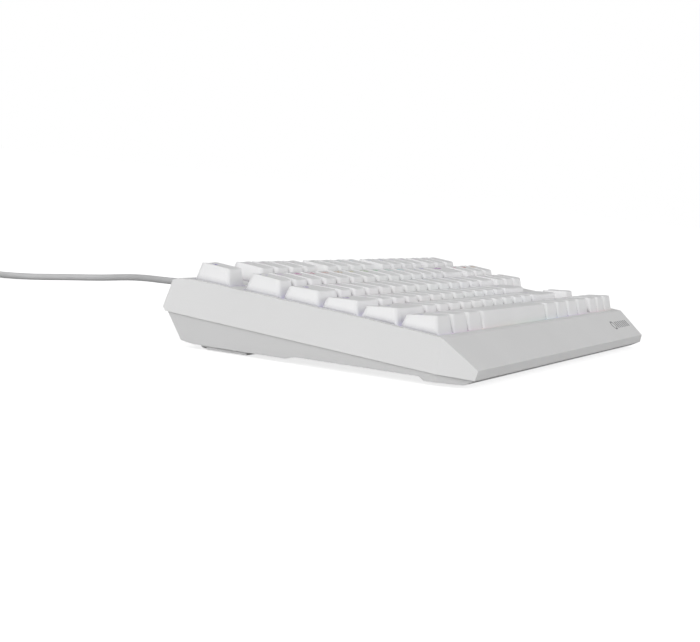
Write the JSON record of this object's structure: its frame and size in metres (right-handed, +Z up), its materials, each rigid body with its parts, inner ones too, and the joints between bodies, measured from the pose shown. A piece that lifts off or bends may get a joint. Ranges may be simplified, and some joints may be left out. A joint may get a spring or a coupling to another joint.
{
  "type": "mechanical keyboard",
  "caption": "Tenkeyless mechanical keyboard with a faceted white case, sprung keys, two flip-out tilt feet and a coiled fixed USB lead",
  "frame": {"origin": "on the table plane under the middle of the keyboard's outline, without its lead", "axes": "+X to the user's right along the keyboard, +Y from the user towards the rear where the lead leaves, +Z up from the table"},
  "size_m": [0.3648, 0.4365, 0.0395],
  "materials": {
    "case_white": "fine matte moulded ABS",
    "keycap_white": "smooth satin moulded ABS",
    "plate_white": "white-coated aluminium plate with white switch housings",
    "circuit_board": "solder-masked glass laminate",
    "pad_rubber": "matte",
    "cord_grey": "smooth satin PVC",
    "plug_grip": "satin moulded PVC",
    "plug_metal": "nickel plated, bright",
    "screw_steel": "blackened"
  },
  "bodies": {
    "case": {"top_case": "case_white", "bottom_case": "case_white", "switch_plate": "plate_white", "circuit_board": "circuit_board", "pad_front_left": "pad_rubber", "pad_front_right": "pad_rubber", "pad_rear_left": "pad_rubber", "pad_rear_right": "pad_rubber", "case_screw_front_left": "screw_steel", "case_screw_front_right": "screw_steel", "case_screw_rear_left": "screw_steel", "case_screw_rear_right": "screw_steel", "strain_relief": "cord_grey", "cord_tube": "cord_grey", "cord_coil": "cord_grey", "usb_plug_grip": "plug_grip", "usb_plug_shell": "plug_metal"},
    "foot_left": {"foot_left": "case_white"},
    "foot_right": {"foot_right": "case_white"},
    "key_escape": {"key_escape": "keycap_white"},
    "key_space": {"key_space": "keycap_white"},
    "key_enter": {"key_enter": "keycap_white"},
    "key_backspace": {"key_backspace": "keycap_white"},
    "key_left_shift": {"key_left_shift": "keycap_white"},
    "key_tab": {"key_tab": "keycap_white"},
    "key_caps_lock": {"key_caps_lock": "keycap_white"},
    "key_left_control": {"key_left_control": "keycap_white"},
    "key_arrow_up": {"key_arrow_up": "keycap_white"},
    "key_arrow_left": {"key_arrow_left": "keycap_white"},
    "key_arrow_down": {"key_arrow_down": "keycap_white"},
    "key_arrow_right": {"key_arrow_right": "keycap_white"},
    "key_left_system": {"key_left_system": "keycap_white"},
    "key_left_alt": {"key_left_alt": "keycap_white"},
    "key_right_alt": {"key_right_alt": "keycap_white"},
    "key_function": {"key_function": "keycap_white"},
    "key_menu": {"key_menu": "keycap_white"},
    "key_right_control": {"key_right_control": "keycap_white"},
    "key_right_shift": {"key_right_shift": "keycap_white"},
    "key_backslash": {"key_backslash": "keycap_white"},
    "keys_f1_to_f4": {"keys_f1_to_f4": "keycap_white"},
    "keys_f5_to_f8": {"keys_f5_to_f8": "keycap_white"},
    "keys_f9_to_f12": {"keys_f9_to_f12": "keycap_white"},
    "keys_print_to_pause": {"keys_print_to_pause": "keycap_white"},
    "keys_insert_to_page_up": {"keys_insert_to_page_up": "keycap_white"},
    "keys_delete_to_page_down": {"keys_delete_to_page_down": "keycap_white"},
    "keys_grave_to_3": {"keys_grave_to_3": "keycap_white"},
    "keys_4_to_6": {"keys_4_to_6": "keycap_white"},
    "keys_7_to_9": {"keys_7_to_9": "keycap_white"},
    "keys_0_to_equals": {"keys_0_to_equals": "keycap_white"},
    "keys_q_to_e": {"keys_q_to_e": "keycap_white"},
    "keys_r_to_y": {"keys_r_to_y": "keycap_white"},
    "keys_u_to_o": {"keys_u_to_o": "keycap_white"},
    "keys_p_to_bracket": {"keys_p_to_bracket": "keycap_white"},
    "keys_a_to_f": {"keys_a_to_f": "keycap_white"},
    "keys_g_to_k": {"keys_g_to_k": "keycap_white"},
    "keys_l_to_quote": {"keys_l_to_quote": "keycap_white"},
    "keys_z_to_v": {"keys_z_to_v": "keycap_white"},
    "keys_b_to_m": {"keys_b_to_m": "keycap_white"},
    "keys_comma_to_slash": {"keys_comma_to_slash": "keycap_white"}
  },
  "joints": [
    {"name": "foot_left_flip", "type": "hinge", "parent": "case", "child": "foot_left", "pos_m": [-0.152, 0.05615, 0.0032], "axis": [1, 0, 0], "range_deg": [0, 100]},
    {"name": "foot_right_flip", "type": "hinge", "parent": "case", "child": "foot_right", "pos_m": [0.152, 0.05615, 0.0032], "axis": [1, 0, 0], "range_deg": [0, 100]},
    {"name": "key_escape_travel", "type": "slide", "parent": "case", "child": "key_escape", "axis": [0, -0.0802, 0.9968], "range_m": [-0.0038, 0], "stiffness_N_per_m": 80, "springref_m": 0.004},
    {"name": "key_space_travel", "type": "slide", "parent": "case", "child": "key_space", "axis": [0, -0.0802, 0.9968], "range_m": [-0.0038, 0], "stiffness_N_per_m": 110, "springref_m": 0.004},
    {"name": "key_enter_travel", "type": "slide", "parent": "case", "child": "key_enter", "axis": [0, -0.0802, 0.9968], "range_m": [-0.0038, 0], "stiffness_N_per_m": 80, "springref_m": 0.004},
    {"name": "key_backspace_travel", "type": "slide", "parent": "case", "child": "key_backspace", "axis": [0, -0.0802, 0.9968], "range_m": [-0.0038, 0], "stiffness_N_per_m": 80, "springref_m": 0.004},
    {"name": "key_left_shift_travel", "type": "slide", "parent": "case", "child": "key_left_shift", "axis": [0, -0.0802, 0.9968], "range_m": [-0.0038, 0], "stiffness_N_per_m": 80, "springref_m": 0.004},
    {"name": "key_tab_travel", "type": "slide", "parent": "case", "child": "key_tab", "axis": [0, -0.0802, 0.9968], "range_m": [-0.0038, 0], "stiffness_N_per_m": 80, "springref_m": 0.004},
    {"name": "key_caps_lock_travel", "type": "slide", "parent": "case", "child": "key_caps_lock", "axis": [0, -0.0802, 0.9968], "range_m": [-0.0038, 0], "stiffness_N_per_m": 80, "springref_m": 0.004},
    {"name": "key_left_control_travel", "type": "slide", "parent": "case", "child": "key_left_control", "axis": [0, -0.0802, 0.9968], "range_m": [-0.0038, 0], "stiffness_N_per_m": 80, "springref_m": 0.004},
    {"name": "key_arrow_up_travel", "type": "slide", "parent": "case", "child": "key_arrow_up", "axis": [0, -0.0802, 0.9968], "range_m": [-0.0038, 0], "stiffness_N_per_m": 80, "springref_m": 0.004},
    {"name": "key_arrow_left_travel", "type": "slide", "parent": "case", "child": "key_arrow_left", "axis": [0, -0.0802, 0.9968], "range_m": [-0.0038, 0], "stiffness_N_per_m": 80, "springref_m": 0.004},
    {"name": "key_arrow_down_travel", "type": "slide", "parent": "case", "child": "key_arrow_down", "axis": [0, -0.0802, 0.9968], "range_m": [-0.0038, 0], "stiffness_N_per_m": 80, "springref_m": 0.004},
    {"name": "key_arrow_right_travel", "type": "slide", "parent": "case", "child": "key_arrow_right", "axis": [0, -0.0802, 0.9968], "range_m": [-0.0038, 0], "stiffness_N_per_m": 80, "springref_m": 0.004},
    {"name": "key_left_system_travel", "type": "slide", "parent": "case", "child": "key_left_system", "axis": [0, -0.0802, 0.9968], "range_m": [-0.0038, 0], "stiffness_N_per_m": 80, "springref_m": 0.004},
    {"name": "key_left_alt_travel", "type": "slide", "parent": "case", "child": "key_left_alt", "axis": [0, -0.0802, 0.9968], "range_m": [-0.0038, 0], "stiffness_N_per_m": 80, "springref_m": 0.004},
    {"name": "key_right_alt_travel", "type": "slide", "parent": "case", "child": "key_right_alt", "axis": [0, -0.0802, 0.9968], "range_m": [-0.0038, 0], "stiffness_N_per_m": 80, "springref_m": 0.004},
    {"name": "key_function_travel", "type": "slide", "parent": "case", "child": "key_function", "axis": [0, -0.0802, 0.9968], "range_m": [-0.0038, 0], "stiffness_N_per_m": 80, "springref_m": 0.004},
    {"name": "key_menu_travel", "type": "slide", "parent": "case", "child": "key_menu", "axis": [0, -0.0802, 0.9968], "range_m": [-0.0038, 0], "stiffness_N_per_m": 80, "springref_m": 0.004},
    {"name": "key_right_control_travel", "type": "slide", "parent": "case", "child": "key_right_control", "axis": [0, -0.0802, 0.9968], "range_m": [-0.0038, 0], "stiffness_N_per_m": 80, "springref_m": 0.004},
    {"name": "key_right_shift_travel", "type": "slide", "parent": "case", "child": "key_right_shift", "axis": [0, -0.0802, 0.9968], "range_m": [-0.0038, 0], "stiffness_N_per_m": 80, "springref_m": 0.004},
    {"name": "key_backslash_travel", "type": "slide", "parent": "case", "child": "key_backslash", "axis": [0, -0.0802, 0.9968], "range_m": [-0.0038, 0], "stiffness_N_per_m": 80, "springref_m": 0.004},
    {"name": "keys_f1_to_f4_travel", "type": "slide", "parent": "case", "child": "keys_f1_to_f4", "axis": [0, -0.0802, 0.9968], "range_m": [-0.0038, 0], "stiffness_N_per_m": 320, "springref_m": 0.004},
    {"name": "keys_f5_to_f8_travel", "type": "slide", "parent": "case", "child": "keys_f5_to_f8", "axis": [0, -0.0802, 0.9968], "range_m": [-0.0038, 0], "stiffness_N_per_m": 320, "springref_m": 0.004},
    {"name": "keys_f9_to_f12_travel", "type": "slide", "parent": "case", "child": "keys_f9_to_f12", "axis": [0, -0.0802, 0.9968], "range_m": [-0.0038, 0], "stiffness_N_per_m": 320, "springref_m": 0.004},
    {"name": "keys_print_to_pause_travel", "type": "slide", "parent": "case", "child": "keys_print_to_pause", "axis": [0, -0.0802, 0.9968], "range_m": [-0.0038, 0], "stiffness_N_per_m": 240, "springref_m": 0.004},
    {"name": "keys_insert_to_page_up_travel", "type": "slide", "parent": "case", "child": "keys_insert_to_page_up", "axis": [0, -0.0802, 0.9968], "range_m": [-0.0038, 0], "stiffness_N_per_m": 240, "springref_m": 0.004},
    {"name": "keys_delete_to_page_down_travel", "type": "slide", "parent": "case", "child": "keys_delete_to_page_down", "axis": [0, -0.0802, 0.9968], "range_m": [-0.0038, 0], "stiffness_N_per_m": 240, "springref_m": 0.004},
    {"name": "keys_grave_to_3_travel", "type": "slide", "parent": "case", "child": "keys_grave_to_3", "axis": [0, -0.0802, 0.9968], "range_m": [-0.0038, 0], "stiffness_N_per_m": 320, "springref_m": 0.004},
    {"name": "keys_4_to_6_travel", "type": "slide", "parent": "case", "child": "keys_4_to_6", "axis": [0, -0.0802, 0.9968], "range_m": [-0.0038, 0], "stiffness_N_per_m": 240, "springref_m": 0.004},
    {"name": "keys_7_to_9_travel", "type": "slide", "parent": "case", "child": "keys_7_to_9", "axis": [0, -0.0802, 0.9968], "range_m": [-0.0038, 0], "stiffness_N_per_m": 240, "springref_m": 0.004},
    {"name": "keys_0_to_equals_travel", "type": "slide", "parent": "case", "child": "keys_0_to_equals", "axis": [0, -0.0802, 0.9968], "range_m": [-0.0038, 0], "stiffness_N_per_m": 240, "springref_m": 0.004},
    {"name": "keys_q_to_e_travel", "type": "slide", "parent": "case", "child": "keys_q_to_e", "axis": [0, -0.0802, 0.9968], "range_m": [-0.0038, 0], "stiffness_N_per_m": 240, "springref_m": 0.004},
    {"name": "keys_r_to_y_travel", "type": "slide", "parent": "case", "child": "keys_r_to_y", "axis": [0, -0.0802, 0.9968], "range_m": [-0.0038, 0], "stiffness_N_per_m": 240, "springref_m": 0.004},
    {"name": "keys_u_to_o_travel", "type": "slide", "parent": "case", "child": "keys_u_to_o", "axis": [0, -0.0802, 0.9968], "range_m": [-0.0038, 0], "stiffness_N_per_m": 240, "springref_m": 0.004},
    {"name": "keys_p_to_bracket_travel", "type": "slide", "parent": "case", "child": "keys_p_to_bracket", "axis": [0, -0.0802, 0.9968], "range_m": [-0.0038, 0], "stiffness_N_per_m": 240, "springref_m": 0.004},
    {"name": "keys_a_to_f_travel", "type": "slide", "parent": "case", "child": "keys_a_to_f", "axis": [0, -0.0802, 0.9968], "range_m": [-0.0038, 0], "stiffness_N_per_m": 320, "springref_m": 0.004},
    {"name": "keys_g_to_k_travel", "type": "slide", "parent": "case", "child": "keys_g_to_k", "axis": [0, -0.0802, 0.9968], "range_m": [-0.0038, 0], "stiffness_N_per_m": 320, "springref_m": 0.004},
    {"name": "keys_l_to_quote_travel", "type": "slide", "parent": "case", "child": "keys_l_to_quote", "axis": [0, -0.0802, 0.9968], "range_m": [-0.0038, 0], "stiffness_N_per_m": 240, "springref_m": 0.004},
    {"name": "keys_z_to_v_travel", "type": "slide", "parent": "case", "child": "keys_z_to_v", "axis": [0, -0.0802, 0.9968], "range_m": [-0.0038, 0], "stiffness_N_per_m": 320, "springref_m": 0.004},
    {"name": "keys_b_to_m_travel", "type": "slide", "parent": "case", "child": "keys_b_to_m", "axis": [0, -0.0802, 0.9968], "range_m": [-0.0038, 0], "stiffness_N_per_m": 240, "springref_m": 0.004},
    {"name": "keys_comma_to_slash_travel", "type": "slide", "parent": "case", "child": "keys_comma_to_slash", "axis": [0, -0.0802, 0.9968], "range_m": [-0.0038, 0], "stiffness_N_per_m": 240, "springref_m": 0.004}
  ]
}
